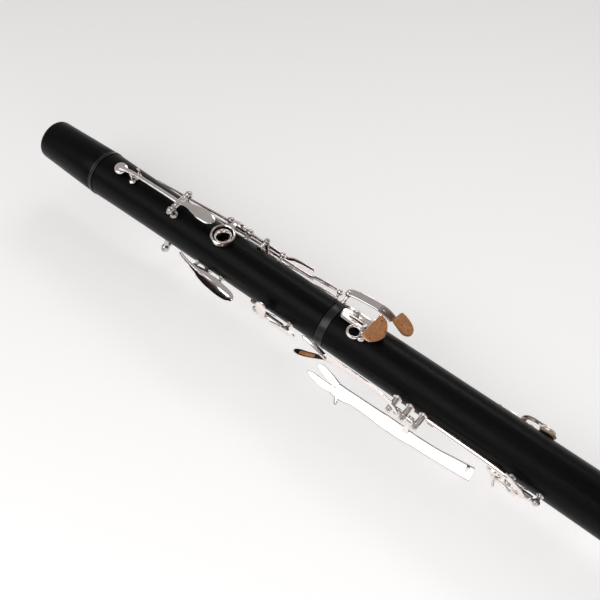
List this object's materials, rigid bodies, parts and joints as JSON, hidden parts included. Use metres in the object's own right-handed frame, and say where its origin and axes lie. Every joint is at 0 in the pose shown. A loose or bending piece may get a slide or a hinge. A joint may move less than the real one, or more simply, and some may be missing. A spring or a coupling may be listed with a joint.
{
  "type": "clarinet",
  "caption": "Boehm-system clarinet without mouthpiece: barrel, two joints, bell, sprung hinged keys and ring keys, thumb rest with cork.",
  "frame": {"origin": "middle of the outline, under the lowest point of the bell's rim", "axes": "+X along the bore from the barrel to the bell, +Z out of the thumb side, +Y towards the player's right hand side"},
  "size_m": [0.5705, 0.078, 0.078],
  "materials": {
    "black_wood": "satin, fine lengthwise grain",
    "polished_band": "polished",
    "silver": "polished silver plate",
    "steel": "plated posts and rods",
    "cork": "raw cork with dark pores",
    "pad_skin": "matt skin"
  },
  "bodies": {
    "body": {"barrel": "black_wood", "barrel_band": "polished_band", "barrel_cork": "cork", "bell": "black_wood", "bell_band": "polished_band", "bell_cork": "cork", "c_sharp_mount": "steel", "e_flat_mount": "steel", "e_mount": "steel", "f_mount": "steel", "f_sharp_mount": "steel", "left_lever_mount": "silver", "lower_joint": "black_wood", "lower_ring_mount": "steel", "middle_band": "polished_band", "middle_cork": "cork", "register_guide": "silver", "register_mount": "steel", "register_tube": "steel", "ring_mount": "steel", "side_guide_1": "silver", "side_guide_2": "silver", "side_mount": "steel", "side_rest_arm": "silver", "side_rest_cork": "cork", "strap_ring": "silver", "throat_a_mount": "steel", "throat_g_sharp_mount": "steel", "thumb_rest_cork": "cork", "thumb_rest_hook": "silver", "thumb_rest_plate": "silver", "thumb_rest_screw": "steel", "thumb_ring_mount": "steel", "thumb_tube": "silver", "upper_joint": "black_wood"},
    "register_key": {"register_key": "silver", "register_pad": "pad_skin"},
    "thumb_ring_key": {"thumb_ring_key": "silver"},
    "first_ring_key": {"first_ring_key": "silver"},
    "second_ring_key": {"second_ring_key": "silver"},
    "throat_a_key": {"throat_a_key": "silver"},
    "throat_g_sharp_key": {"throat_g_sharp_key": "silver"},
    "side_key_1": {"side_key_1": "silver"},
    "side_key_2": {"side_key_2": "silver"},
    "side_key_3": {"side_key_3": "silver"},
    "side_key_4": {"side_key_4": "silver"},
    "c_sharp_key": {"c_sharp_key": "silver"},
    "lower_ring_key": {"lower_ring_key": "silver"},
    "left_lever_inner": {"left_lever_inner": "silver"},
    "left_lever_outer": {"left_lever_outer": "silver"},
    "f_sharp_key": {"f_sharp_key": "silver", "f_sharp_pad": "pad_skin"},
    "e_flat_key": {"e_flat_key": "silver", "e_flat_pad": "pad_skin"},
    "e_key": {"e_key": "silver"},
    "f_key": {"f_key": "silver", "f_pad": "pad_skin"}
  },
  "joints": [
    {"name": "register_key_hinge", "type": "hinge", "parent": "body", "child": "register_key", "pos_m": [-0.16625, 0, 0.0586], "axis": [0, 1, 0], "range_deg": [0, 4], "stiffness_Nm_per_rad": 0.03, "springref_deg": -14.32},
    {"name": "thumb_ring_key_hinge", "type": "hinge", "parent": "body", "child": "thumb_ring_key", "pos_m": [-0.12935, 0.01645, 0.0485], "axis": [1, 0, 0], "range_deg": [0, 3], "stiffness_Nm_per_rad": 0.03, "springref_deg": -14.32},
    {"name": "first_ring_key_hinge", "type": "hinge", "parent": "body", "child": "first_ring_key", "pos_m": [-0.13325, 0.01214, 0.02504], "axis": [-1, 0, 0], "range_deg": [0, 4], "stiffness_Nm_per_rad": 0.03, "springref_deg": -14.32},
    {"name": "second_ring_key_hinge", "type": "hinge", "parent": "body", "child": "second_ring_key", "pos_m": [-0.10925, 0.01214, 0.02504], "axis": [-1, 0, 0], "range_deg": [0, 4], "stiffness_Nm_per_rad": 0.03, "springref_deg": -14.32},
    {"name": "throat_a_key_hinge", "type": "hinge", "parent": "body", "child": "throat_a_key", "pos_m": [-0.17525, 0, 0.0164], "axis": [0, -1, 0], "range_deg": [0, 6], "stiffness_Nm_per_rad": 0.03, "springref_deg": -14.32},
    {"name": "throat_g_sharp_key_hinge", "type": "hinge", "parent": "body", "child": "throat_g_sharp_key", "pos_m": [-0.13025, -0.0175, 0.03398], "axis": [-1, 0, 0], "range_deg": [0, 7], "stiffness_Nm_per_rad": 0.03, "springref_deg": -14.32},
    {"name": "side_key_1_hinge", "type": "hinge", "parent": "body", "child": "side_key_1", "pos_m": [-0.10925, 0.0178, 0.0446], "axis": [0, 0, -1], "range_deg": [0, 2.6], "stiffness_Nm_per_rad": 0.03, "springref_deg": -14.32},
    {"name": "side_key_2_hinge", "type": "hinge", "parent": "body", "child": "side_key_2", "pos_m": [-0.10925, 0.0178, 0.0404], "axis": [0, 0, -1], "range_deg": [0, 3], "stiffness_Nm_per_rad": 0.03, "springref_deg": -14.32},
    {"name": "side_key_3_hinge", "type": "hinge", "parent": "body", "child": "side_key_3", "pos_m": [-0.10925, 0.0178, 0.0362], "axis": [0, 0, -1], "range_deg": [0, 3.2], "stiffness_Nm_per_rad": 0.03, "springref_deg": -14.32},
    {"name": "side_key_4_hinge", "type": "hinge", "parent": "body", "child": "side_key_4", "pos_m": [-0.10925, 0.0178, 0.032], "axis": [0, 0, -1], "range_deg": [0, 3.2], "stiffness_Nm_per_rad": 0.03, "springref_deg": -14.32},
    {"name": "c_sharp_key_hinge", "type": "hinge", "parent": "body", "child": "c_sharp_key", "pos_m": [-0.07725, -0.01832, 0.03577], "axis": [-1, 0, 0], "range_deg": [0, 8], "stiffness_Nm_per_rad": 0.03, "springref_deg": -14.32},
    {"name": "lower_ring_key_hinge", "type": "hinge", "parent": "body", "child": "lower_ring_key", "pos_m": [0.00075, 0.01344, 0.02557], "axis": [-1, 0, 0], "range_deg": [0, 4], "stiffness_Nm_per_rad": 0.03, "springref_deg": -14.32},
    {"name": "left_lever_inner_hinge", "type": "hinge", "parent": "body", "child": "left_lever_inner", "pos_m": [0.01955, -0.022, 0.039], "axis": [1, 0, 0], "range_deg": [0, 6], "stiffness_Nm_per_rad": 0.03, "springref_deg": -14.32},
    {"name": "left_lever_outer_hinge", "type": "hinge", "parent": "body", "child": "left_lever_outer", "pos_m": [0.02835, -0.022, 0.039], "axis": [1, 0, 0], "range_deg": [0, 6], "stiffness_Nm_per_rad": 0.03, "springref_deg": -14.32},
    {"name": "f_sharp_key_hinge", "type": "hinge", "parent": "body", "child": "f_sharp_key", "pos_m": [0.09875, -0.01969, 0.03831], "axis": [-1, 0, 0], "range_deg": [0, 8], "stiffness_Nm_per_rad": 0.03, "springref_deg": -14.32},
    {"name": "e_flat_key_hinge", "type": "hinge", "parent": "body", "child": "e_flat_key", "pos_m": [0.07075, 0.01865, 0.03365], "axis": [-1, 0, 0], "range_deg": [0, 8], "stiffness_Nm_per_rad": 0.03, "springref_deg": -14.32},
    {"name": "e_key_hinge", "type": "hinge", "parent": "body", "child": "e_key", "pos_m": [0.07875, -0.00278, 0.0192], "axis": [1, 0, 0], "range_deg": [0, 4], "stiffness_Nm_per_rad": 0.03, "springref_deg": -14.32},
    {"name": "f_key_hinge", "type": "hinge", "parent": "body", "child": "f_key", "pos_m": [0.11475, 0.01576, 0.02669], "axis": [-1, 0, 0], "range_deg": [0, 4], "stiffness_Nm_per_rad": 0.03, "springref_deg": -14.32}
  ],
  "couplings": [
    {"joint": "first_ring_key_hinge", "follows": "thumb_ring_key_hinge", "ratio": 1.2},
    {"joint": "e_key_hinge", "follows": "left_lever_outer_hinge", "ratio": 0.6},
    {"joint": "f_sharp_key_hinge", "follows": "left_lever_inner_hinge", "ratio": 1.2}
  ]
}
